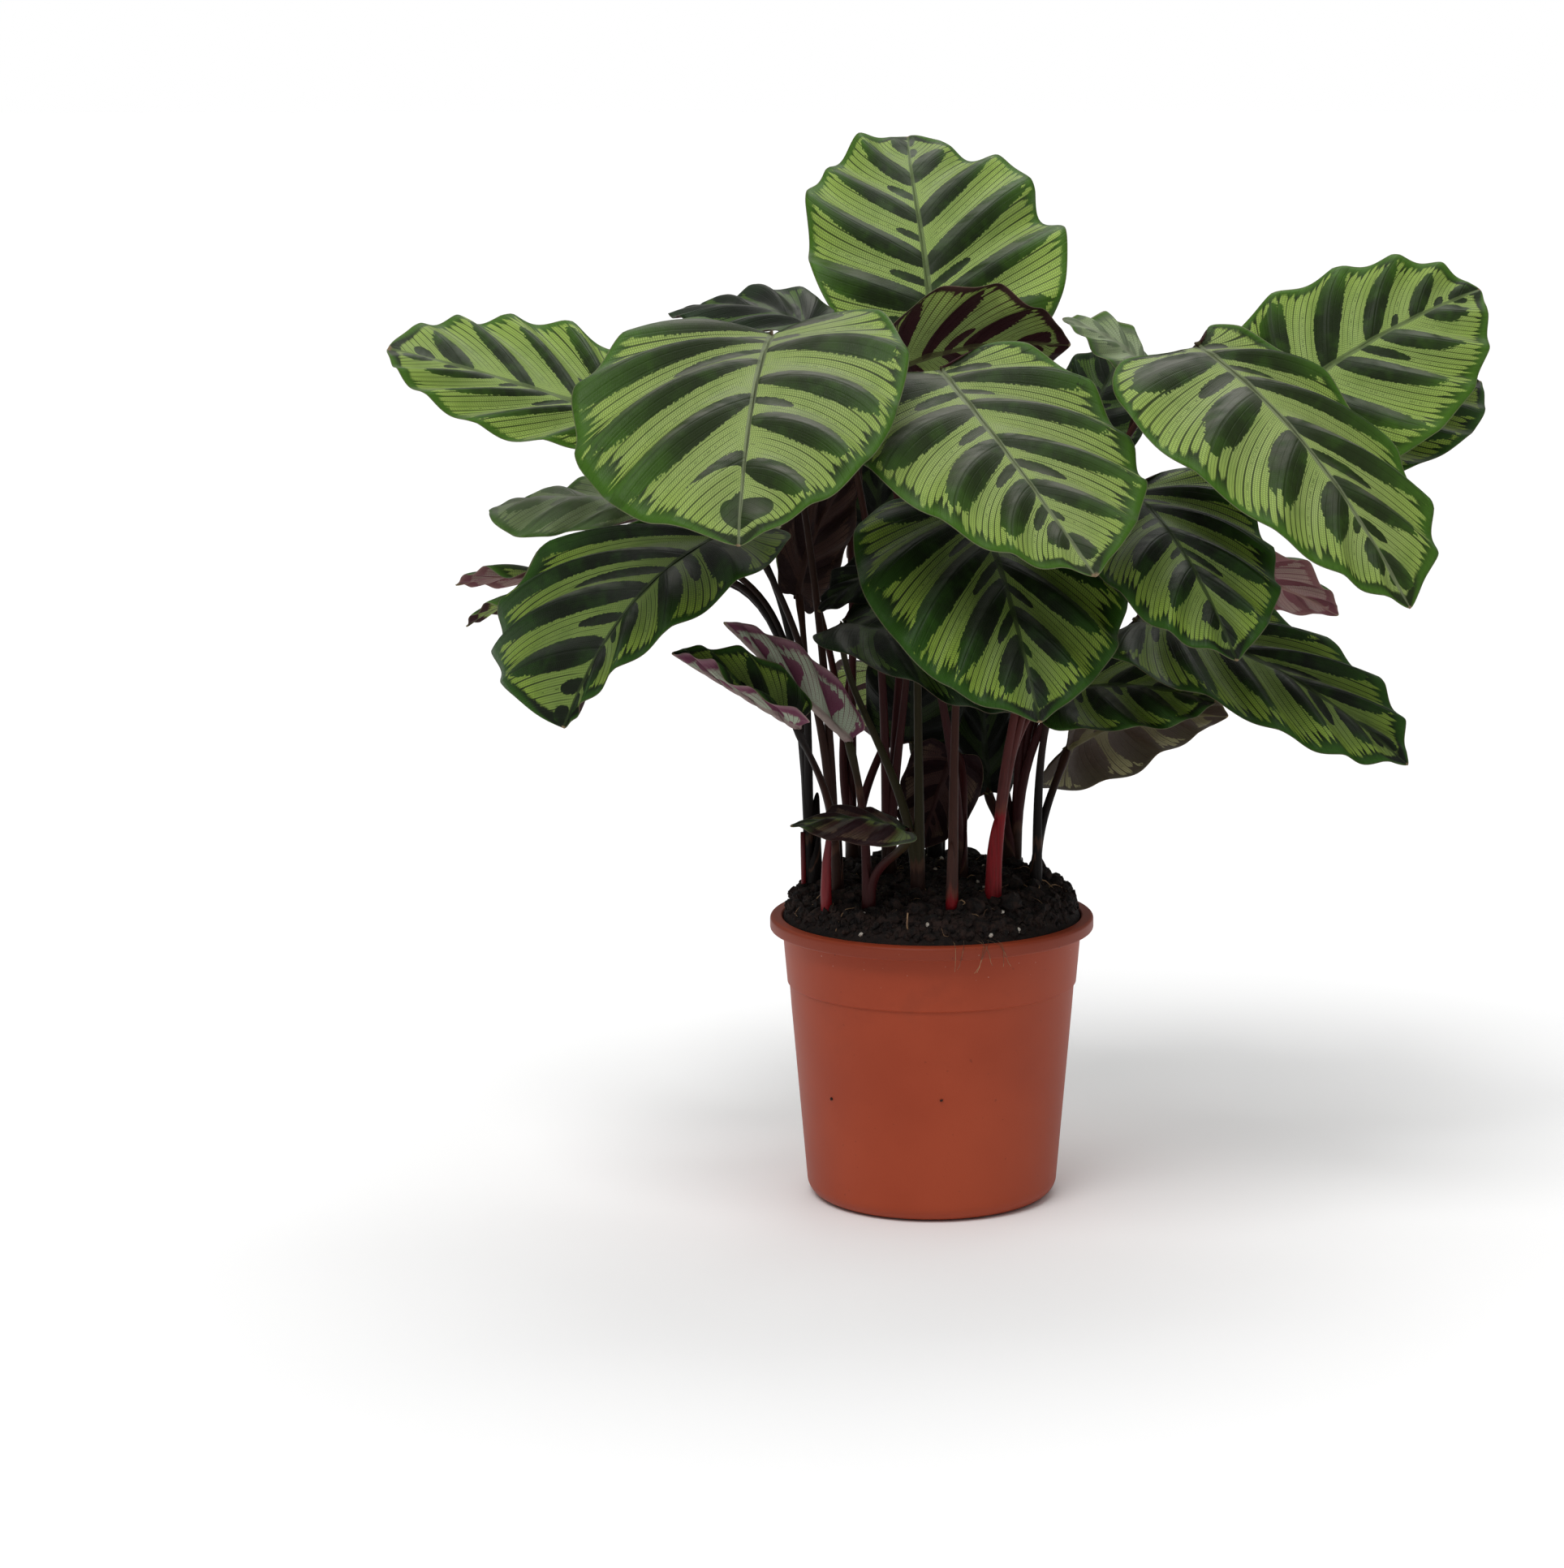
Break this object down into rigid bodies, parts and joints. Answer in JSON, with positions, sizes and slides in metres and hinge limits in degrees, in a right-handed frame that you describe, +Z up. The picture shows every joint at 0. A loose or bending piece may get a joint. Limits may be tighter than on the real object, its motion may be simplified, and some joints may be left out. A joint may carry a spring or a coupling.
{
  "type": "potted peacock plant",
  "caption": "Potted peacock plant: broad, wavy, feather-patterned leaves on slim stalks that rise from soil in a round nursery pot with a flat foot.",
  "frame": {"origin": "on the pot's axis, on the flat face of its underside that it stands on", "axes": "+Z up along the pot's axis, -Y towards the plant's front, +X to the right seen from the front"},
  "size_m": [0.5778, 0.405, 0.5522],
  "materials": {
    "clay_plastic": "matt terracotta-coloured moulded plastic",
    "potting_soil": "damp crumbly potting soil",
    "leaf_green": "satin living leaf, light green with dark green blotches and margin, purplish underside",
    "stalk_brown": "smooth living stalk, dark brown to wine red"
  },
  "bodies": {
    "root": {"leaf_back": "leaf_green", "leaf_back_high": "leaf_green", "leaf_back_left": "leaf_green", "leaf_back_left_high": "leaf_green", "leaf_back_low": "leaf_green", "leaf_back_purple": "leaf_green", "leaf_back_right": "leaf_green", "leaf_back_right_high": "leaf_green", "leaf_back_right_low": "leaf_green", "leaf_basal_curl": "leaf_green", "leaf_front_centre": "leaf_green", "leaf_front_left": "leaf_green", "leaf_front_low": "leaf_green", "leaf_front_right": "leaf_green", "leaf_inner_green": "leaf_green", "leaf_inner_high": "leaf_green", "leaf_inner_left": "leaf_green", "leaf_inner_maroon": "leaf_green", "leaf_inner_right": "leaf_green", "leaf_inner_side": "leaf_green", "leaf_inner_upright": "leaf_green", "leaf_left_edge_on": "leaf_green", "leaf_left_far": "leaf_green", "leaf_left_sliver": "leaf_green", "leaf_left_sliver_low": "leaf_green", "leaf_low_left": "leaf_green", "leaf_low_right": "leaf_green", "leaf_lowest_right": "leaf_green", "leaf_mid_right": "leaf_green", "leaf_right_back": "leaf_green", "leaf_right_back_low": "leaf_green", "leaf_right_curl": "leaf_green", "leaf_right_purple": "leaf_green", "leaf_rolled_lower": "leaf_green", "leaf_rolled_upper": "leaf_green", "leaf_top_left": "leaf_green", "leaf_top_upright": "leaf_green", "leaf_under_centre": "leaf_green", "leaf_under_right": "leaf_green", "pot": "clay_plastic", "shoot_back": "stalk_brown", "shoot_back_left": "stalk_brown", "shoot_back_right": "stalk_brown", "shoot_centre": "stalk_brown", "shoot_front": "stalk_brown", "shoot_front_centre": "stalk_brown", "shoot_front_inner": "stalk_brown", "shoot_front_left": "stalk_brown", "shoot_front_right": "stalk_brown", "shoot_left": "stalk_brown", "shoot_right": "stalk_brown", "shoot_top": "stalk_brown", "soil": "potting_soil"}
  },
  "joints": []
}
